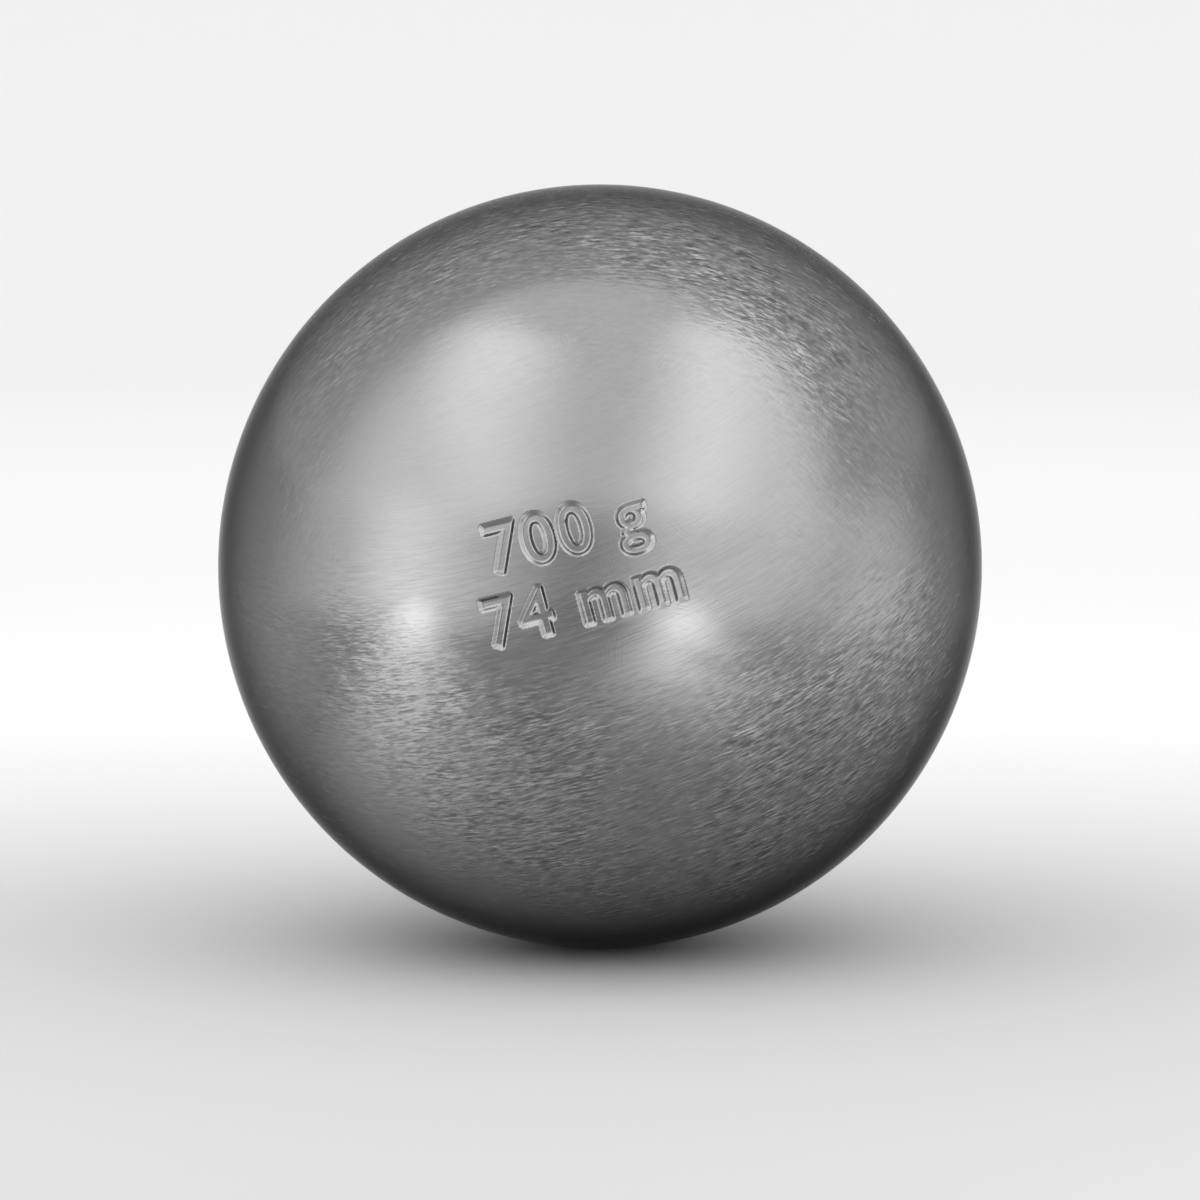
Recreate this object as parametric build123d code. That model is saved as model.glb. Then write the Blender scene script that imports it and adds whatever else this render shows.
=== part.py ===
from build123d import *

import math
import os

# Petanque boule: two forged steel half shells, centred on each other by a spigot and joined by one ring weld
# that is turned flush. Millimetres, +Z up, with the origin at the centre of the sphere. The joint lies in
# the XZ plane, so the Y axis is the axis of every piece. The half shell that is stamped faces -Y.

# Driving dimensions: the sphere
boule_diameter = 74.0
wall = 6.16

# Driving dimensions: the spigot of the plain half and its socket in the marked half
spigot_wall = 1.05
spigot_length = 2.0
spigot_lead_in = 0.3
spigot_clearance = 0.05
socket_end_gap = 0.3

# Driving dimensions: the faces that butt, and the weld groove outside them
butt_width = 1.05
groove_land = 0.6
groove_angle = 60.0

# Steel, in grams per cubic millimetre
steel_density = 7.85e-3

# Radii that follow from the driving dimensions
outer_radius = boule_diameter / 2
inner_radius = outer_radius - wall
spigot_radius = inner_radius + spigot_wall
socket_radius = spigot_radius + spigot_clearance
groove_radius = socket_radius + butt_width
socket_depth = spigot_length + socket_end_gap


def on_sphere(radius, height):
    """Point of a sphere's outline at a height along the Y axis."""
    return Vector(math.sqrt(radius**2 - height**2), height)


def groove_edge(side):
    """Point where the sloping wall of the weld groove meets the outer sphere, on side -1 or +1 of the joint."""
    half_angle = math.radians(groove_angle / 2)
    along = groove_radius * math.cos(half_angle) + groove_land * math.sin(half_angle)
    short_of_sphere = outer_radius**2 - groove_radius**2 - groove_land**2
    slope_length = math.sqrt(along**2 + short_of_sphere) - along
    reach = groove_radius + slope_length * math.cos(half_angle)
    return Vector(reach, side * (groove_land + slope_length * math.sin(half_angle)))


def sphere_arc(start, end):
    """Arc about the origin between two points at the same distance from it."""
    middle = (start + end).normalized() * start.length
    return ThreePointArc(start, middle, end)


def turned(outline):
    """Solid of revolution about the Y axis, from the edges of a closed outline in the XY plane."""
    return revolve(make_face(outline), Axis.Y)


def marked_half_shell():
    """Half shell on the -Y side, bored with the socket that takes the spigot."""
    pole = Vector(0, -outer_radius)
    inner_pole = Vector(0, -inner_radius)
    shoulder = groove_edge(-1)
    socket_floor = on_sphere(inner_radius, -socket_depth)
    joint_line = Polyline(
        shoulder,
        (groove_radius, -groove_land),
        (groove_radius, 0),
        (socket_radius, 0),
        (socket_radius, -socket_depth),
        socket_floor,
    )
    return turned([
        sphere_arc(pole, shoulder),
        *joint_line.edges(),
        sphere_arc(socket_floor, inner_pole),
        Line(inner_pole, pole),
    ])


def plain_half_shell():
    """Half shell on the +Y side, with the spigot that enters the marked half."""
    pole = Vector(0, outer_radius)
    inner_pole = Vector(0, inner_radius)
    shoulder = groove_edge(1)
    spigot_tip = on_sphere(inner_radius, -spigot_length)
    joint_line = Polyline(
        shoulder,
        (groove_radius, groove_land),
        (groove_radius, 0),
        (spigot_radius, 0),
        (spigot_radius, spigot_lead_in - spigot_length),
        (spigot_radius - spigot_lead_in, -spigot_length),
        spigot_tip,
    )
    return turned([
        sphere_arc(pole, shoulder),
        *joint_line.edges(),
        sphere_arc(spigot_tip, inner_pole),
        Line(inner_pole, pole),
    ])


def ring_weld():
    """Weld metal that fills the groove, turned flush with the sphere."""
    near_shoulder = groove_edge(-1)
    far_shoulder = groove_edge(1)
    near_root = Vector(groove_radius, -groove_land)
    far_root = Vector(groove_radius, groove_land)
    return turned([
        sphere_arc(near_shoulder, far_shoulder),
        Line(far_shoulder, far_root),
        Line(far_root, near_root),
        Line(near_root, near_shoulder),
    ])


pieces = {
    "marked_half_shell": marked_half_shell(),
    "plain_half_shell": plain_half_shell(),
    "ring_weld": ring_weld(),
}

os.makedirs("parts", exist_ok=True)
for name, piece in pieces.items():
    export_step(piece, f"parts/{name}.step")
    print(f"{name}: {piece.volume * steel_density:.1f} g")
print(f"boule: {sum(piece.volume for piece in pieces.values()) * steel_density:.1f} g")
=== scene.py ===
import math

import bmesh
import bpy
from bpy.props import FloatProperty, FloatVectorProperty, IntProperty, PointerProperty, StringProperty
from mathutils import Matrix, Vector


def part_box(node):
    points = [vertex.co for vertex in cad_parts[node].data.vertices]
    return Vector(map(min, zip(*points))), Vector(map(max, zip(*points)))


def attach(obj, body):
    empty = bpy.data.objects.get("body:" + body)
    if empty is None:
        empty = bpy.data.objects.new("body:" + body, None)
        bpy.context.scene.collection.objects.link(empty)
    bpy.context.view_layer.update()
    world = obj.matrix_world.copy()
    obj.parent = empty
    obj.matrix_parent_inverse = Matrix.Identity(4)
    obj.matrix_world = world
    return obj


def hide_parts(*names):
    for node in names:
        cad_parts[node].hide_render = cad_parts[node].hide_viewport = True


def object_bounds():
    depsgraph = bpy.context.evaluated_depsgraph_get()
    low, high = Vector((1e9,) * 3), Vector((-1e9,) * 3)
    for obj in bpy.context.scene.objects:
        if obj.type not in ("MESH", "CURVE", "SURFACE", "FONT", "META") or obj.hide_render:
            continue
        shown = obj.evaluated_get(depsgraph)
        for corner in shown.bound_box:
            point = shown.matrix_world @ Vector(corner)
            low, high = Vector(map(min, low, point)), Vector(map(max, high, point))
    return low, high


bl_info = {
    "name": "Petanque Boule",
    "version": (1, 0, 0),
    "blender": (4, 5, 0),
    "location": "View3D > Sidebar > Boule",
    "description": "Models a stamped steel boule from two half shells and a ring weld, with its studio",
    "category": "Object",
}

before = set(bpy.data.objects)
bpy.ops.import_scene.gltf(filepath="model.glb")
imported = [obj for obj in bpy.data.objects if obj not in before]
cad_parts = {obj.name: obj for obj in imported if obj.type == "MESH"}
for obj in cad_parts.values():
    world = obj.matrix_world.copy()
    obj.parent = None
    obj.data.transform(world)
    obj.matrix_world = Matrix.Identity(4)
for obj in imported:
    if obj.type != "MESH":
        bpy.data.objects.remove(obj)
cad_low, cad_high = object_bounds()

MM = 0.001


class BouleSizes(bpy.types.PropertyGroup):
    """Sizes of the hollow sphere and of the joint between its halves"""

    radius: FloatProperty(
        name="Radius",
        description="Radius of the finished sphere",
        default=cad_high.y,
        subtype="DISTANCE",
        unit="LENGTH",
    )
    wall: FloatProperty(
        name="Wall",
        description="Thickness of the forged half shells",
        default=6.16 * MM,
        subtype="DISTANCE",
        unit="LENGTH",
    )
    groove_reach: FloatProperty(
        name="Groove reach",
        description="How far each edge of the weld lies from the middle of the joint",
        default=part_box("ring_weld")[1].y,
        subtype="DISTANCE",
        unit="LENGTH",
    )
    groove_land: FloatProperty(
        name="Groove land",
        description="Height of the straight wall at the root of the weld groove, on each half",
        default=0.6 * MM,
        subtype="DISTANCE",
        unit="LENGTH",
    )
    butt_width: FloatProperty(
        name="Butt width",
        description="Width of the flat faces at which the halves meet",
        default=1.05 * MM,
        subtype="DISTANCE",
        unit="LENGTH",
    )
    spigot_wall: FloatProperty(
        name="Spigot wall",
        description="Thickness of the spigot at its root",
        default=1.05 * MM,
        subtype="DISTANCE",
        unit="LENGTH",
    )
    spigot_length: FloatProperty(
        name="Spigot length",
        description="How far the spigot of the plain half enters the marked half",
        default=-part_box("plain_half_shell")[0].y,
        subtype="DISTANCE",
        unit="LENGTH",
    )
    spigot_lead_in: FloatProperty(
        name="Spigot lead-in",
        description="Chamfer at the tip of the spigot",
        default=0.3 * MM,
        subtype="DISTANCE",
        unit="LENGTH",
    )
    spigot_clearance: FloatProperty(
        name="Spigot clearance",
        description="Gap between the spigot and its socket",
        default=0.05 * MM,
        subtype="DISTANCE",
        unit="LENGTH",
    )
    socket_end_gap: FloatProperty(
        name="Socket end gap",
        description="How much deeper the socket is than the spigot is long",
        default=0.3 * MM,
        subtype="DISTANCE",
        unit="LENGTH",
    )
    skin_cuts: IntProperty(
        name="Skin cuts",
        description="Cuts along each edge of the cube that is rounded into the skin",
        default=63,
        min=7,
    )
    inside_rings: IntProperty(
        name="Inside rings",
        description="Rings of faces from the joint to the middle of a half shell's inside",
        default=24,
        min=4,
    )


class StampSizes(bpy.types.PropertyGroup):
    """Sizes of the stamped figures"""

    figures: StringProperty(
        name="Figures",
        description="Weight and diameter of the boule, a row each",
        default="700 g\n74 mm",
    )
    height: FloatProperty(
        name="Figure height",
        description="Height of the figures at the floor of the stamp",
        default=4.5 * MM,
        subtype="DISTANCE",
        unit="LENGTH",
    )
    centre: FloatVectorProperty(
        name="Centre",
        description="Middle of the figures, to the right of the boule's middle and above it",
        size=2,
        default=(-2.3 * MM, 3.0 * MM),
        subtype="XYZ_LENGTH",
        unit="LENGTH",
    )
    climb: FloatProperty(
        name="Climb",
        description="How steeply the rows climb to the right",
        default=math.radians(15),
        subtype="ANGLE",
    )
    depth: FloatProperty(
        name="Depth",
        description="Depth of the figures at the middle of the stamp",
        default=0.38 * MM,
        subtype="DISTANCE",
        unit="LENGTH",
    )
    slope: FloatProperty(
        name="Slope",
        description="Width of the sloping wall round each figure",
        default=0.42 * MM,
        subtype="DISTANCE",
        unit="LENGTH",
    )
    reach: FloatVectorProperty(
        name="Reach",
        description="Half the width and half the height of the skin that is cut finely for the stamp",
        size=2,
        default=(12 * MM, 8 * MM),
        subtype="XYZ_LENGTH",
        unit="LENGTH",
    )


class StudioSizes(bpy.types.PropertyGroup):
    """Sizes of the studio, its camera and its light"""

    lens: FloatProperty(
        name="Lens",
        description="Focal length of the camera, in millimetres",
        default=150.0,
    )
    elevation: FloatProperty(
        name="Elevation",
        description="How far the camera looks down on the boule",
        default=math.radians(5),
        subtype="ANGLE",
    )
    # Painted shade: the paper is greyer in a pool in front of the boule, so that the boule's lower half
    # mirrors it dark.
    shade_pool_colour: FloatVectorProperty(
        name="Near colour",
        description="Colour of the paper in front of the boule",
        size=3,
        default=(0.42, 0.42, 0.42),
        subtype="COLOR",
    )
    far_colour: FloatVectorProperty(
        name="Far colour",
        description="Colour of the paper further out",
        size=3,
        default=(0.8, 0.8, 0.8),
        subtype="COLOR",
    )
    # Where the pool of painted shade on the paper lies, and how far it reaches.
    shade_pool_centre: FloatProperty(
        name="Grey centre",
        description="How far in front of the boule the middle of the near colour lies",
        default=0.2,
        subtype="DISTANCE",
        unit="LENGTH",
    )
    shade_pool_reach: FloatVectorProperty(
        name="Grey reach",
        description="Where the near colour starts to fade and where the far colour begins",
        size=2,
        default=(0.15, 0.45),
        subtype="XYZ_LENGTH",
        unit="LENGTH",
    )
    sweep_radius: FloatProperty(
        name="Sweep radius",
        description="How far the paper sweep reaches before it turns up",
        default=1.1,
        subtype="DISTANCE",
        unit="LENGTH",
    )


def only_object_mode():
    """Leaves edit mode and deselects everything."""
    if bpy.context.object and bpy.context.object.mode != "OBJECT":
        bpy.ops.object.mode_set(mode="OBJECT")
    bpy.ops.object.select_all(action="DESELECT")


def named(name):
    """Names the object that an operator has just added, and its mesh."""
    piece = bpy.context.object
    piece.name = name
    piece.data.name = name
    return piece


def select(piece, test, what="verts"):
    """Selects, in edit mode, the vertices, edges or faces whose middle passes a test."""
    bpy.ops.mesh.select_all(action="DESELECT")
    mesh = bmesh.from_edit_mesh(piece.data)
    for part in getattr(mesh, what):
        middle = part.co if what == "verts" else part.calc_center_median()
        if test(middle):
            part.select_set(True)
    mesh.select_flush(True)
    bmesh.update_edit_mesh(piece.data)


def finish_modifier(piece, kind, **settings):
    """Adds a modifier of a kind to a piece, sets it and applies it."""
    modifier = piece.modifiers.new(kind.lower(), kind)
    for name, value in settings.items():
        setattr(modifier, name, value)
    bpy.context.view_layer.objects.active = piece
    bpy.ops.object.modifier_apply(modifier=modifier.name)


def round_off(piece, radius):
    """Moves every vertex of a piece out to a sphere."""
    finish_modifier(piece, "CAST", cast_type="SPHERE", factor=1, size=radius, use_radius_as_size=False)


def extrude_along(profile):
    """Extrudes the selected ring of edges from the first point of a profile to each of the next.

    A point is a radius and a height along the Y axis.
    """
    for (radius, height), (next_radius, next_height) in zip(profile, profile[1:]):
        ratio = next_radius / radius
        bpy.ops.mesh.extrude_edges_move()
        bpy.ops.transform.resize(value=(ratio, 1, ratio), center_override=(0, height, 0))
        bpy.ops.transform.translate(value=(0, next_height - height, 0))


def arc_points(radius, start_height, end_height, steps, end_share=1.0):
    """Points of a circle about the origin, from one height along the Y axis towards another."""
    start = math.asin(start_height / radius)
    end = math.asin(end_height / radius)
    angles = [start + (end - start) * end_share * step / steps for step in range(steps + 1)]
    return [(radius * math.cos(angle), radius * math.sin(angle)) for angle in angles]


def groove_shoulder(sizes):
    """Radius at which the weld groove meets the sphere."""
    return math.sqrt(sizes.radius**2 - sizes.groove_reach**2)


def groove_root(sizes):
    """Radius of the root of the weld groove."""
    return sizes.radius - sizes.wall + sizes.spigot_wall + sizes.spigot_clearance + sizes.butt_width


def joint_profile(sizes, side):
    """Outline of a half shell's joint, from the edge of the weld groove to the inside of the wall."""
    inside = sizes.radius - sizes.wall
    root = groove_root(sizes)
    outer = [
        (groove_shoulder(sizes), side * sizes.groove_reach),
        (root, side * sizes.groove_land),
        (root, 0),
    ]
    if side < 0:
        socket = inside + sizes.spigot_wall + sizes.spigot_clearance
        depth = sizes.spigot_length + sizes.socket_end_gap
        return outer + [(socket, 0), (socket, -depth), (math.sqrt(inside**2 - depth**2), -depth)]
    spigot = inside + sizes.spigot_wall
    tip = -sizes.spigot_length
    lead_in = sizes.spigot_lead_in
    return outer + [
        (spigot, 0),
        (spigot, tip + lead_in),
        (spigot - lead_in, tip),
        (math.sqrt(inside**2 - tip**2), tip),
    ]


def forged_skin(name, sizes, side):
    """Outer skin of a half shell: a cube, cut finely, rounded and cut off at the weld groove."""
    only_object_mode()
    bpy.ops.mesh.primitive_cube_add(size=2 * sizes.radius)
    piece = named(name)
    bpy.ops.object.mode_set(mode="EDIT")
    bpy.ops.mesh.subdivide(number_cuts=sizes.skin_cuts)
    bpy.ops.object.mode_set(mode="OBJECT")
    round_off(piece, sizes.radius)
    bpy.ops.object.mode_set(mode="EDIT")
    bpy.ops.mesh.select_all(action="SELECT")
    bpy.ops.mesh.bisect(
        plane_co=(0, side * sizes.groove_reach, 0),
        plane_no=(0, side, 0),
        clear_inner=True,
    )
    bpy.ops.object.mode_set(mode="OBJECT")
    round_off(piece, sizes.radius)
    # The cut leaves vertices that lie close beside its plane, so the edge is flattened onto it.
    bpy.ops.object.mode_set(mode="EDIT")
    bpy.ops.mesh.select_mode(type="VERT")
    bpy.ops.mesh.select_all(action="DESELECT")
    bpy.ops.mesh.select_non_manifold()
    bpy.ops.transform.resize(value=(1, 0, 1), center_override=(0, side * sizes.groove_reach, 0))
    bpy.ops.object.mode_set(mode="OBJECT")
    return piece


def line_shell(piece, sizes, side):
    """Gives a skin its joint and its inside, and closes it."""
    inside = sizes.radius - sizes.wall
    joint = joint_profile(sizes, side)
    inside_end = joint[-1][1]
    rings = sizes.inside_rings
    dome = arc_points(inside, inside_end, side * inside, rings, (rings - 1) / rings)
    bpy.ops.object.mode_set(mode="EDIT")
    bpy.ops.mesh.select_mode(type="VERT")
    bpy.ops.mesh.select_all(action="DESELECT")
    bpy.ops.mesh.select_non_manifold()
    extrude_along(joint + dome[1:])
    bpy.ops.mesh.merge(type="CENTER")
    select(piece, lambda middle: middle.xz.length < MM and abs(middle.y) < sizes.radius - MM)
    last = dome[-1][1]
    bpy.ops.transform.translate(value=(0, side * inside - last, 0))
    bpy.ops.mesh.select_all(action="SELECT")
    bpy.ops.mesh.normals_make_consistent(inside=False)
    bpy.ops.object.mode_set(mode="OBJECT")


def in_stamp(stamp, place):
    """A place's offset from the middle of the stamp, along its rows and across them."""
    offset = Vector((place.x - stamp.centre[0], place.z - stamp.centre[1]))
    return Matrix.Rotation(-stamp.climb, 2) @ offset


def near_stamp(stamp, spare):
    """Test for places in front of the boule that the stamp covers, with some to spare."""

    def test(place):
        along, across = in_stamp(stamp, place)
        inside = abs(along) < stamp.reach[0] + spare and abs(across) < stamp.reach[1] + spare
        return place.y < 0 and inside

    return test


def refine_skin(piece, sizes, stamp):
    """Cuts the skin under the stamp finely, in two steps."""
    bpy.ops.object.mode_set(mode="EDIT")
    bpy.ops.mesh.select_mode(type="FACE")
    for spare, cuts in ((2.5 * MM, 2), (0, 3)):
        select(piece, near_stamp(stamp, spare), "faces")
        bpy.ops.mesh.subdivide(number_cuts=cuts)
    bpy.ops.object.mode_set(mode="OBJECT")
    round_off(piece, sizes.radius)


def laid_figures(piece, stamp, sizes):
    """The figures of the stamp as a thin sheet that lies on the skin."""
    only_object_mode()
    bpy.ops.object.text_add()
    sheet = named("stamp_figures")
    sheet.data.body = stamp.figures
    sheet.data.align_x = "CENTER"
    sheet.data.align_y = "CENTER"
    # A figure is this share of its font's size in height.
    figure_share = 0.73
    sheet.data.size = stamp.height / figure_share
    sheet.data.space_line = 1.05
    sheet.data.space_character = 1.1
    sheet.data.offset = -0.02 * MM
    bpy.ops.object.convert(target="MESH")
    place = (stamp.centre[0], -sizes.radius, stamp.centre[1])
    sheet.matrix_world = (
        Matrix.Translation(place)
        @ Matrix.Rotation(-stamp.climb, 4, "Y")
        @ Matrix.Rotation(math.radians(90), 4, "X")
    )
    bpy.ops.object.transform_apply()
    bpy.ops.object.mode_set(mode="EDIT")
    bpy.ops.mesh.select_all(action="SELECT")
    bpy.ops.mesh.subdivide(number_cuts=4)
    bpy.ops.object.mode_set(mode="OBJECT")
    finish_modifier(
        sheet,
        "SHRINKWRAP",
        target=piece,
        wrap_method="PROJECT",
        use_project_y=True,
        use_positive_direction=True,
        use_negative_direction=True,
    )
    return sheet


def press(piece, sheet, slope, depth):
    """Pushes the skin in by a depth under a sheet of figures, with a sloping wall round them."""
    finish_modifier(
        piece,
        "VERTEX_WEIGHT_PROXIMITY",
        vertex_group="stamp",
        target=sheet,
        proximity_mode="GEOMETRY",
        proximity_geometry={"FACE"},
        min_dist=slope,
        max_dist=0,
        falloff_type="LINEAR",
    )
    finish_modifier(piece, "DISPLACE", vertex_group="stamp", strength=-depth, mid_level=0)


def stamp_skin(piece, sizes, stamp):
    """Stamps the figures into the skin."""
    sheet = laid_figures(piece, stamp, sizes)
    only_object_mode()
    bpy.context.view_layer.objects.active = piece
    piece.select_set(True)
    bpy.ops.object.vertex_group_add()
    piece.vertex_groups.active.name = "stamp"
    bpy.ops.object.mode_set(mode="EDIT")
    bpy.ops.mesh.select_mode(type="VERT")
    select(piece, near_stamp(stamp, 0))
    bpy.ops.object.vertex_group_assign()
    bpy.ops.object.mode_set(mode="OBJECT")
    press(piece, sheet, stamp.slope, stamp.depth)
    bpy.data.objects.remove(sheet)


def smooth(piece, sizes):
    """Smooths a piece's shading, apart from its sharp edges, and shades its skin as a true sphere."""
    only_object_mode()
    bpy.ops.object.empty_add()
    centre = bpy.context.object
    only_object_mode()
    piece.select_set(True)
    bpy.context.view_layer.objects.active = piece
    crease = math.radians(40)
    skin = sizes.radius - 0.002 * MM
    bpy.ops.object.shade_smooth_by_angle(angle=crease)
    bpy.ops.object.vertex_group_add()
    piece.vertex_groups.active.name = "skin"
    bpy.ops.object.mode_set(mode="EDIT")
    bpy.ops.mesh.select_mode(type="VERT")
    select(piece, lambda middle: middle.length > skin)
    bpy.ops.object.vertex_group_assign()
    bpy.ops.object.mode_set(mode="OBJECT")
    finish_modifier(
        piece, "NORMAL_EDIT", mode="RADIAL", target=centre, vertex_group="skin", no_polynors_fix=True
    )
    bpy.data.objects.remove(centre)


def give_finish(piece, sizes):
    """Gives the outside, the joint and the inside of a piece their materials."""
    for make in (satin_steel, turned_steel, forging_scale):
        piece.data.materials.append(make())
    bpy.context.view_layer.objects.active = piece
    bpy.ops.object.mode_set(mode="EDIT")
    bpy.ops.mesh.select_mode(type="FACE")
    inside = sizes.radius - sizes.wall + 0.05 * MM
    skin = sizes.radius - MM
    piece.active_material_index = 1
    select(piece, lambda middle: middle.length < skin, "faces")
    bpy.ops.object.material_slot_assign()
    piece.active_material_index = 2
    select(piece, lambda middle: middle.length < inside, "faces")
    bpy.ops.object.material_slot_assign()
    bpy.ops.object.mode_set(mode="OBJECT")


class Shade:
    """A socket of a material's node tree, in an expression."""

    def __init__(self, tree, socket=None):
        self.tree = tree
        self.socket = socket

    def node(self, kind, settings=None, sockets=None, output=0):
        """Adds a node of a kind, sets it, feeds its sockets and gives one of its outputs."""
        made = self.tree.nodes.new(kind)
        for name, value in (settings or {}).items():
            setattr(made, name, value)
        for key, value in (sockets or {}).items():
            if isinstance(value, Shade):
                self.tree.links.new(value.socket, made.inputs[key])
            else:
                made.inputs[key].default_value = value
        return Shade(self.tree, made.outputs[output]) if made.outputs else None

    def other(self, output):
        """Another output of the same node."""
        return Shade(self.tree, self.socket.node.outputs[output])

    def math(self, operation, *values, clamp=False):
        settings = {"operation": operation, "use_clamp": clamp}
        return self.node("ShaderNodeMath", settings, dict(enumerate(values)))

    def vector(self, operation, *values, output="Vector"):
        return self.node("ShaderNodeVectorMath", {"operation": operation}, dict(enumerate(values)), output)

    def __add__(self, other):
        return self.math("ADD", self, other)

    def __radd__(self, other):
        return self.math("ADD", other, self)

    def __sub__(self, other):
        return self.math("SUBTRACT", self, other)

    def __rsub__(self, other):
        return self.math("SUBTRACT", other, self)

    def __mul__(self, other):
        return self.math("MULTIPLY", self, other)

    def __rmul__(self, other):
        return self.math("MULTIPLY", other, self)

    def __truediv__(self, other):
        return self.math("DIVIDE", self, other)

    def __pow__(self, other):
        return self.math("POWER", self, other)

    def clamped(self):
        return self.math("ADD", self, 0, clamp=True)

    def ramp(self, start, end, low=0.0, high=1.0, smooth=False):
        """Goes from low to high while this value goes from start to end, and no further."""
        settings = {"interpolation_type": "SMOOTHSTEP" if smooth else "LINEAR"}
        sockets = {"Value": self, "From Min": start, "From Max": end, "To Min": low, "To Max": high}
        return self.node("ShaderNodeMapRange", settings, sockets)


def new_material(name):
    """A material with an empty node tree, and its object coordinates."""
    material = bpy.data.materials.new(name)
    material.use_nodes = True
    material.node_tree.nodes.clear()
    place = Shade(material.node_tree).node("ShaderNodeTexCoord", output="Object")
    return material, place


def random_directions(place, spacing, seed):
    """Cells of a pattern over the skin, each with a direction of its own.

    Gives how far a place lies along its cell's direction, how far across it, and the cell's random colour.
    """
    shifted = place.vector("ADD", place, (seed * 0.1, 0, 0))
    cells = place.node("ShaderNodeTexVoronoi", {}, {"Vector": shifted, "Scale": 1 / spacing}, "Position")
    colour = cells.other("Color")
    offset = place.vector("SUBTRACT", shifted, cells)
    outwards = place.vector("NORMALIZE", place)
    turn = place.vector("SUBTRACT", colour, (0.5, 0.5, 0.5))
    along = place.vector("NORMALIZE", place.vector("CROSS_PRODUCT", outwards, turn))
    across = place.vector("CROSS_PRODUCT", outwards, along)
    return (
        place.vector("DOT_PRODUCT", offset, along, output="Value"),
        place.vector("DOT_PRODUCT", offset, across, output="Value"),
        colour,
    )


def brush_lines(place, patch, length, width, height, seed):
    """Height of fine brush lines, in patches of different directions that fade at their edges."""
    along, across, colour = random_directions(place, patch, seed)
    chance = place.node("ShaderNodeSeparateColor", {}, {"Color": colour})
    lines = place.node(
        "ShaderNodeCombineXYZ",
        {},
        {"X": along * (1 / length), "Y": across * (1 / width), "Z": chance * 50},
    )
    noise = place.node("ShaderNodeTexNoise", {}, {"Vector": lines, "Scale": 1.0, "Detail": 1.0})
    middle = (1 - (along * along + across * across) * (2 / patch**2)).clamped()
    return (noise - 0.5) * middle * height


def ring_streaks(place, radius, axis, start, length, width, seed):
    """Soft streaks in rings about an axis, about -1 in the darkest and 1 in the brightest.

    The angle round the axis is counted from the side that faces the start direction.
    """
    beside = (start - axis * start.dot(axis)).normalized()
    above = axis.cross(beside)
    reach = place.vector("DOT_PRODUCT", place, tuple(beside), output="Value")
    up = place.vector("DOT_PRODUCT", place, tuple(above), output="Value")
    high = place.vector("DOT_PRODUCT", place, tuple(axis), output="Value")
    ring = (reach * reach + up * up) ** 0.5
    across = ring.math("ARCTAN2", ring, high) * (radius / width)
    along = up.math("ARCTAN2", up, reach) * ring * (1 / length)
    lines = place.node("ShaderNodeCombineXYZ", {}, {"X": along, "Y": across, "Z": seed * 7.3})
    noise = place.node("ShaderNodeTexNoise", {}, {"Vector": lines, "Scale": 1.0, "Detail": 2.0})
    return noise * 6 - 3


def crossed_streaks(place, radius, axis, start, length, width, either):
    """Two sets of ring streaks that lean a little apart: one where either is 0, the other where it is 1."""
    sets = []
    for lean in (-0.06, 0.06):
        leaning = (axis + Vector((lean, 0, 0))).normalized()
        sets.append(ring_streaks(place, radius, leaning, start, length, width, lean))
    return sets[0] + (sets[1] - sets[0]) * either


def from_front(outwards, centre, reach):
    """How far a direction is from a place on the front: 1 on an ellipse of that reach round its centre."""
    beside = (outwards.other("X") - centre[0]) / reach[0]
    above = (outwards.other("Z") - centre[1]) / reach[1]
    return beside * beside + above * above


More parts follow.
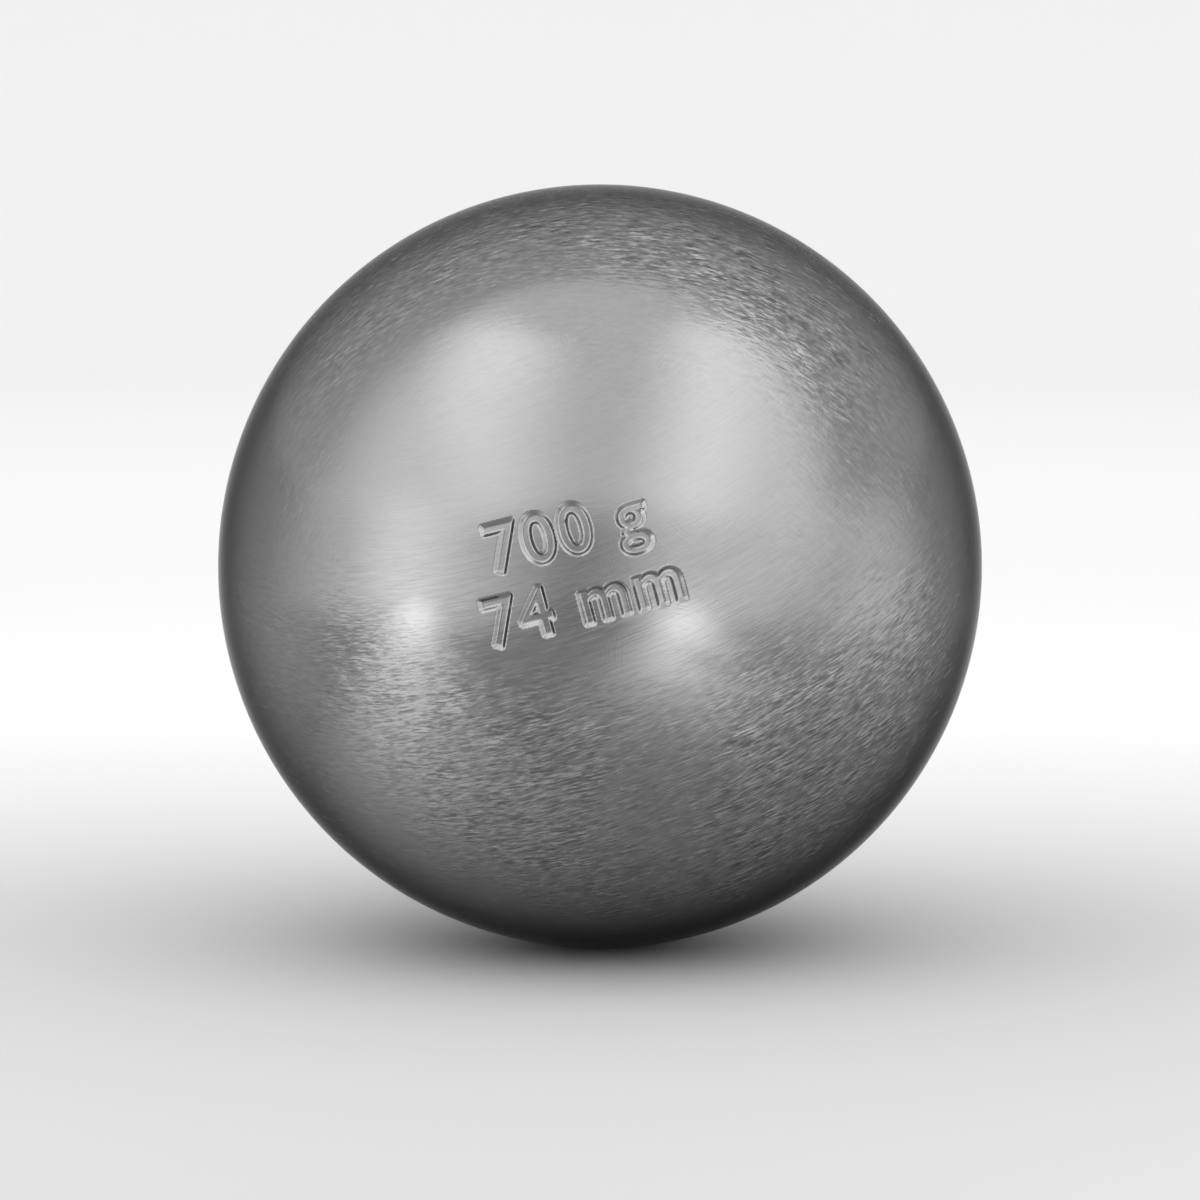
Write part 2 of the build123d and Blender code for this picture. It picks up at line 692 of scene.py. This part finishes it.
def satin_steel():
    """Satin steel, brushed in soft streaks on its lower half and its crown, which fade out in front where the
    highlights fall; the streaks' lighter colour is partly real scratches and partly painted glints.
    """
    name = "scratched_satin"
    if name in bpy.data.materials:
        return bpy.data.materials[name]
    material, place = new_material(name)
    radius = bpy.context.scene.boule_sizes.radius
    outwards = place.node("ShaderNodeSeparateXYZ", {}, {"Vector": place.vector("NORMALIZE", place)})
    brushed = brush_lines(place, 6 * MM, 2.5 * MM, 0.1 * MM, 0.008 * MM, 1)
    patches = place.node("ShaderNodeTexNoise", {}, {"Vector": place, "Scale": 350.0, "Detail": 1.0})
    either = (patches * 6 - 2.5).clamped()
    strength = patches * 1.4 + 0.3
    low_width = 0.18 * MM
    high_width = 0.36 * MM
    hair_width = 0.1 * MM
    low_axis = Vector((-0.33, -0.33, 0.88))
    high_axis = Vector((0, -0.9, -0.43))
    forwards = Vector((0, -1, 0))
    upwards = Vector((0, 0, 1))
    low = crossed_streaks(place, radius, low_axis, forwards, 1.15 * MM, low_width, either)
    high = crossed_streaks(place, radius, high_axis, upwards, 1.05 * MM, high_width, either)
    hair = ring_streaks(place, radius, low_axis.normalized(), forwards, 2.4 * MM, hair_width, 5)
    # The streaks fade out in front, where the highlights fall, in a tongue below the stamp and towards the
    # rim, so that their painted glints lie off the highlights.
    rise = outwards.other("Z").ramp(-0.1, 0.3, smooth=True)
    crown = outwards.other("Z").ramp(0.3, 0.75, 0.22, smooth=True)
    behind = (outwards.other("Y") * 4).clamped() * 3
    low_glint_fade = (from_front(outwards, (0, 0.33), (0.75, 0.5)) + behind).ramp(0.9, 1.7, 0.1)
    high_glint_fade = (from_front(outwards, (-0.1, 0.29), (0.62, 0.56)) + behind).ramp(0.7, 1.2, 0.1)
    tongue_glint_fade = (from_front(outwards, (0.15, -0.38), (0.14, 0.42)) + behind).ramp(0.2, 2.2, 0.45)
    rim_glint_fade = from_front(outwards, (0.1, -0.05), (0.85, 0.85)).ramp(0.6, 0.95, 1.0, 0.22)
    edge = from_front(outwards, (0, 0), (0.9, 0.97))
    edge_glint_fade = edge.ramp(0.78, 1.0, 1.0, 0.35)
    low = low * (1 - rise * 0.8) * low_glint_fade * rim_glint_fade * tongue_glint_fade * strength
    high = high * rise * crown * high_glint_fade * edge_glint_fade * strength
    streaks = low + high + hair * (0.22 - rise * 0.16) * rim_glint_fade
    # Painted light: the rim's colour is lighter, as a painted reflection, apart from its lower right, which
    # is darker as painted shade.
    painted_rim_light_and_shade = (outwards.other("X") - outwards.other("Z")).ramp(1.0, 1.35, 0.13, -0.12)
    # The streaks lighten and darken the colour: partly real scratches, partly painted glints.
    bright = (streaks * 0.36 + 0.34 + edge.ramp(0.65, 1.05) * painted_rim_light_and_shade).clamped()
    colour = place.node(
        "ShaderNodeMix",
        {"data_type": "RGBA"},
        {0: bright, 6: (0.12, 0.12, 0.12, 1), 7: (0.4, 0.4, 0.4, 1)},
        2,
    )
    height = brushed + low * (0.05 * low_width) + high * (0.05 * high_width)
    bump = place.node("ShaderNodeBump", {}, {"Strength": 1.0, "Distance": 1.0, "Height": height})
    cloud = place.node("ShaderNodeTexNoise", {}, {"Vector": place, "Scale": 90.0, "Detail": 3.0})
    shader = place.node(
        "ShaderNodeBsdfPrincipled",
        {},
        {
            "Base Color": colour,
            "Metallic": 1.0,
            "Roughness": 0.14 + cloud * 0.06 + streaks.clamped() * 0.3,
            "Specular Tint": (0.25, 0.25, 0.25, 1),
            "Normal": bump,
        },
    )
    place.node("ShaderNodeOutputMaterial", {}, {"Surface": shader})
    return material


def turned_steel():
    """Bare steel turned on a lathe, with fine rings about the boule's axis."""
    name = "turned_faces"
    if name in bpy.data.materials:
        return bpy.data.materials[name]
    material, place = new_material(name)
    axes = place.node("ShaderNodeSeparateXYZ", {}, {"Vector": place})
    reach = place.vector("LENGTH", place.vector("MULTIPLY", place, (1, 0, 1)), output="Value")
    rings = place.node(
        "ShaderNodeCombineXYZ",
        {},
        {"X": reach * (1 / (0.1 * MM)), "Y": axes.other("Y") * (1 / (0.1 * MM))},
    )
    noise = place.node("ShaderNodeTexNoise", {}, {"Vector": rings, "Scale": 1.0, "Detail": 1.0})
    bump = place.node(
        "ShaderNodeBump", {}, {"Strength": 1.0, "Distance": 1.0, "Height": noise * (0.01 * MM)}
    )
    shader = place.node(
        "ShaderNodeBsdfPrincipled",
        {},
        {
            "Base Color": (0.5, 0.49, 0.48, 1),
            "Metallic": 1.0,
            "Roughness": 0.2 + noise * 0.2,
            "Normal": bump,
        },
    )
    place.node("ShaderNodeOutputMaterial", {}, {"Surface": shader})
    return material


def forging_scale():
    """Dark scale that hot forging leaves on the inside."""
    name = "forged_inside"
    if name in bpy.data.materials:
        return bpy.data.materials[name]
    material, place = new_material(name)
    scale = place.node("ShaderNodeTexNoise", {}, {"Vector": place, "Scale": 400.0, "Detail": 5.0})
    colour = place.node(
        "ShaderNodeMix",
        {"data_type": "RGBA"},
        {0: scale, 6: (0.03, 0.03, 0.035, 1), 7: (0.12, 0.1, 0.09, 1)},
        2,
    )
    bump = place.node(
        "ShaderNodeBump", {}, {"Strength": 1.0, "Distance": 1.0, "Height": scale * (0.1 * MM)}
    )
    shader = place.node(
        "ShaderNodeBsdfPrincipled",
        {},
        {
            "Base Color": colour,
            "Metallic": 0.3 + scale * 0.5,
            "Roughness": 0.5 + scale * 0.3,
            "Normal": bump,
        },
    )
    place.node("ShaderNodeOutputMaterial", {}, {"Surface": shader})
    return material


def graduated_paper(studio):
    """Matt paper of the studio's sweep, greyer in front of the boule than behind it: painted shade, so that
    the boule's lower half mirrors it dark.
    """
    material, place = new_material("graduated_paper")
    # The paper is painted greyer, as painted shade, round a point in front of the boule.
    from_centre = place.vector("ADD", place, (0, studio.shade_pool_centre, 0))
    reach = place.vector("LENGTH", place.vector("MULTIPLY", from_centre, (1, 1, 0)), output="Value")
    rise = reach.ramp(studio.shade_pool_reach[0], studio.shade_pool_reach[1], smooth=True)
    colour = place.node(
        "ShaderNodeMix",
        {"data_type": "RGBA"},
        {0: rise, 6: (*studio.shade_pool_colour, 1), 7: (*studio.far_colour, 1)},
        2,
    )
    grain = place.node("ShaderNodeTexNoise", {}, {"Vector": place, "Scale": 900.0, "Detail": 2.0})
    shader = place.node(
        "ShaderNodeBsdfPrincipled",
        {},
        {"Base Color": colour, "Roughness": 0.85 + grain * 0.1, "Specular IOR Level": 0.1},
    )
    place.node("ShaderNodeOutputMaterial", {}, {"Surface": shader})
    return material


class BOULE_OT_half_shells(bpy.types.Operator):
    """Models the marked half shell, with its stamp, and the plain half shell"""

    bl_idname = "boule.half_shells"
    bl_label = "Half Shells"

    def execute(self, context):
        sizes = context.scene.boule_sizes
        stamp = context.scene.boule_stamp
        for name, side in (("marked_half", -1), ("plain_half", 1)):
            piece = forged_skin(name, sizes, side)
            if side < 0:
                refine_skin(piece, sizes, stamp)
                stamp_skin(piece, sizes, stamp)
            line_shell(piece, sizes, side)
            give_finish(piece, sizes)
            smooth(piece, sizes)
            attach(piece, "root")
            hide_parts(f"{name}_shell")
        return {"FINISHED"}


class BOULE_OT_weld(bpy.types.Operator):
    """Models the ring weld that joins the half shells, turned flush"""

    bl_idname = "boule.weld"
    bl_label = "Ring Weld"

    def execute(self, context):
        sizes = context.scene.boule_sizes
        reach = sizes.groove_reach
        root = groove_root(sizes)
        only_object_mode()
        bpy.ops.mesh.primitive_circle_add(
            vertices=4 * (sizes.skin_cuts + 1),
            radius=groove_shoulder(sizes),
            location=(0, -reach, 0),
            rotation=(math.radians(90), 0, 0),
        )
        piece = named("weld")
        bpy.ops.object.transform_apply()
        bpy.ops.object.mode_set(mode="EDIT")
        bpy.ops.mesh.select_all(action="SELECT")
        crown = arc_points(sizes.radius, -reach, reach, 6)
        extrude_along(crown + [(root, sizes.groove_land), (root, -sizes.groove_land), crown[0]])
        bpy.ops.mesh.select_all(action="SELECT")
        bpy.ops.mesh.remove_doubles(threshold=0.001 * MM)
        bpy.ops.mesh.normals_make_consistent(inside=False)
        bpy.ops.object.mode_set(mode="OBJECT")
        give_finish(piece, sizes)
        smooth(piece, sizes)
        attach(piece, "root")
        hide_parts("ring_weld")
        return {"FINISHED"}


def softbox(name, low, high, width, brightness, fade):
    """Adds a flat lamp that faces the boule, from the middle of its lower edge to that of its upper one.

    It fades towards its sides, its lower end and its upper end, and brightness 1 is white.
    """
    middle = (low + high) / 2
    upwards = (high - low).normalized()
    sideways = upwards.cross(middle).normalized()
    face = sideways.cross(upwards)
    turned = Matrix((sideways, upwards, face)).transposed().to_4x4()
    bpy.ops.object.light_add(type="AREA")
    lamp = named(name)
    lamp.matrix_world = Matrix.Translation(middle) @ turned
    lamp.data.shape = "RECTANGLE"
    lamp.data.size = width
    lamp.data.size_y = (high - low).length
    lamp.data.energy = brightness * math.pi * lamp.data.size * lamp.data.size_y
    lamp.visible_camera = False
    lamp.data.use_nodes = True
    lamp.data.node_tree.nodes.clear()
    face = Shade(lamp.data.node_tree).node("ShaderNodeNewGeometry", output="Parametric")
    across = face.node("ShaderNodeSeparateXYZ", {}, {"Vector": face})
    along = across.other("Y")
    sides, low_end, high_end = fade
    left_side = across.ramp(0, sides, smooth=True)
    right_side = (1 - across).ramp(0, sides, smooth=True)
    lower = along.ramp(0, low_end, smooth=True)
    upper = (1 - along).ramp(0, high_end, smooth=True)
    strength = left_side * right_side * lower * upper
    glow = face.node("ShaderNodeEmission", {}, {"Strength": strength})
    face.node("ShaderNodeOutputLight", {}, {"Surface": glow})
    return lamp


def light_behind(lamp):
    """Adds the same lamp facing outwards, so that the paper on its far side is lit too."""
    only_object_mode()
    lamp.select_set(True)
    bpy.context.view_layer.objects.active = lamp
    bpy.ops.object.duplicate()
    outer = bpy.context.object
    outer.name = lamp.name + "_back"
    outer.matrix_world = lamp.matrix_world @ Matrix.Rotation(math.pi, 4, "Y")


def round_boule(azimuth, reach, height):
    """A place round the boule, at an azimuth in degrees to the right of the camera as the boule sees it."""
    turn = math.radians(azimuth)
    return Vector((math.sin(turn) * reach, -math.cos(turn) * reach, height))


class BOULE_OT_studio(bpy.types.Operator):
    """Sets up the pale sweep, the soft light and the camera"""

    bl_idname = "boule.studio"
    bl_label = "Studio"

    def execute(self, context):
        studio = context.scene.boule_studio
        sizes = context.scene.boule_sizes
        self.lay_sweep(studio, sizes)
        self.hang_light(sizes)
        self.set_camera(studio, sizes)
        context.scene.view_settings.view_transform = "Standard"
        return {"FINISHED"}

    def lay_sweep(self, studio, sizes):
        """A round sheet that lies under the boule and turns up far from it."""
        only_object_mode()
        bpy.ops.mesh.primitive_circle_add(
            vertices=128,
            radius=studio.sweep_radius,
            fill_type="NGON",
            location=(0, 0, -sizes.radius),
        )
        sweep = named("sweep")
        bpy.ops.object.transform_apply()
        bpy.ops.object.mode_set(mode="EDIT")
        bpy.ops.mesh.select_all(action="SELECT")
        bpy.ops.mesh.region_to_loop()
        bend = 0.4
        steps = 12
        reach = studio.sweep_radius
        for step in range(steps):
            last = math.radians(90) * step / steps
            angle = math.radians(90) * (step + 1) / steps
            ratio = (reach + bend * math.sin(angle)) / (reach + bend * math.sin(last))
            bpy.ops.mesh.extrude_edges_move()
            bpy.ops.transform.resize(value=(ratio, ratio, 1), center_override=(0, 0, 0))
            bpy.ops.transform.translate(value=(0, 0, bend * (math.cos(last) - math.cos(angle))))
        bpy.ops.object.mode_set(mode="OBJECT")
        bpy.ops.object.shade_smooth()
        sweep.data.materials.append(graduated_paper(studio))

    def hang_light(self, sizes):
        """Softboxes beside the boule and overhead, glowing cards on the paper, and a pale room."""
        only_object_mode()
        floor = MM - sizes.radius
        left_wall = softbox(
            "left_wall",
            round_boule(-48, 0.18, floor - 0.04),
            round_boule(-70, 0.14, 0.46),
            width=0.36,
            brightness=1.29,
            fade=(0.5, 0.05, 0.3),
        )
        right_wall = softbox(
            "right_wall",
            round_boule(23, 0.2, floor - 0.04),
            round_boule(86, 0.17, 0.34),
            width=0.26,
            brightness=1.25,
            fade=(0.4, 0.05, 0.05),
        )
        far_right = softbox(
            "far_right",
            round_boule(78, 0.16, floor - 0.02),
            round_boule(78, 0.16, 0.06),
            width=0.2,
            brightness=0.9,
            fade=(0.5, 0.05, 0.3),
        )
        softbox(
            "far_left",
            round_boule(-88, 0.16, floor),
            round_boule(-88, 0.16, 0.06),
            width=0.12,
            brightness=0.36,
            fade=(0.5, 0.25, 0.25),
        )
        softbox(
            "roof",
            round_boule(0, 0.3, 0.09),
            round_boule(180, 0.04, 0.36),
            width=0.6,
            brightness=0.74,
            fade=(0.3, 0.12, 0.025),
        )
        softbox(
            "left_low",
            round_boule(-54, 0.17, floor),
            round_boule(-54, 0.17, 0.08),
            width=0.14,
            brightness=0.74,
            fade=(0.5, 0.3, 0.5),
        )
        softbox(
            "left_card",
            round_boule(-47, 0, floor),
            round_boule(-52, 0.36, floor),
            width=0.082,
            brightness=2.65,
            fade=(0.5, 0.45, 0.1),
        )
        softbox(
            "right_card",
            round_boule(22, 0.04, floor),
            round_boule(22, 0.36, floor),
            width=0.1,
            brightness=2.4,
            fade=(0.5, 0.3, 0.1),
        )
        softbox(
            "side_card",
            round_boule(66, 0.04, floor),
            round_boule(66, 0.24, floor),
            width=0.18,
            brightness=0.32,
            fade=(0.5, 0.4, 0.3),
        )
        softbox(
            "edge_card",
            round_boule(-95, 0.04, floor),
            round_boule(-95, 0.24, floor),
            width=0.16,
            brightness=0.1,
            fade=(0.5, 0.4, 0.3),
        )
        backdrop = softbox(
            "backdrop",
            Vector((0, 0.3, 0.5)),
            Vector((0, 0.7, 0.7)),
            width=1.6,
            brightness=0.42,
            fade=(0.15, 0.15, 0.15),
        )
        # This lamp faces the paper behind the boule.
        backdrop.matrix_world = Matrix.Translation((0, 0.55, 0.5)) @ Matrix.Rotation(math.radians(52), 4, "X")
        for lamp in (left_wall, right_wall, far_right):
            light_behind(lamp)
        world = bpy.data.worlds.new("pale_room")
        world.use_nodes = True
        world.node_tree.nodes["Background"].inputs["Color"].default_value = (1.08, 1.08, 1.08, 1)
        bpy.context.scene.world = world

    def set_camera(self, studio, sizes):
        """A camera in front of the boule, a little above it."""
        # In pixels: the picture, the boule's radius, and how far the picture's middle is below the boule's.
        image = 1200
        outline = 382
        below_middle = 33.5
        sensor = 36.0
        pixel = sensor / studio.lens / image
        distance = sizes.radius / math.sin(math.atan(outline * pixel))
        back = Vector((0, -math.cos(studio.elevation), math.sin(studio.elevation)))
        bpy.ops.object.camera_add(location=back * distance)
        camera = named("camera")
        camera.data.lens = studio.lens
        camera.data.sensor_width = sensor
        tilt = math.radians(90) - studio.elevation - math.atan(below_middle * pixel)
        camera.rotation_euler = (tilt, 0, 0)
        camera.data.clip_start = 0.01
        bpy.context.scene.camera = camera


class BOULE_PT_panel(bpy.types.Panel):
    """Lists the pieces of the boule"""

    bl_label = "Petanque Boule"
    bl_idname = "BOULE_PT_panel"
    bl_space_type = "VIEW_3D"
    bl_region_type = "UI"
    bl_category = "Boule"

    def draw(self, context):
        for group in ("boule_sizes", "boule_stamp", "boule_studio"):
            settings = getattr(context.scene, group)
            box = self.layout.box()
            for name in settings.bl_rna.properties.keys():
                if name not in ("rna_type", "name"):
                    box.prop(settings, name)
        for operator in ("boule.half_shells", "boule.weld", "boule.studio"):
            self.layout.operator(operator)


CLASSES = (
    BouleSizes,
    StampSizes,
    StudioSizes,
    BOULE_OT_half_shells,
    BOULE_OT_weld,
    BOULE_OT_studio,
    BOULE_PT_panel,
)


def register():
    for kind in CLASSES:
        bpy.utils.register_class(kind)
    bpy.types.Scene.boule_sizes = PointerProperty(type=BouleSizes)
    bpy.types.Scene.boule_stamp = PointerProperty(type=StampSizes)
    bpy.types.Scene.boule_studio = PointerProperty(type=StudioSizes)


def unregister():
    del bpy.types.Scene.boule_studio
    del bpy.types.Scene.boule_stamp
    del bpy.types.Scene.boule_sizes
    for kind in reversed(CLASSES):
        bpy.utils.unregister_class(kind)


def main():
    register()
    bpy.ops.boule.half_shells()
    bpy.ops.boule.weld()
    bpy.ops.boule.studio()


if __name__ == "__main__":
    main()
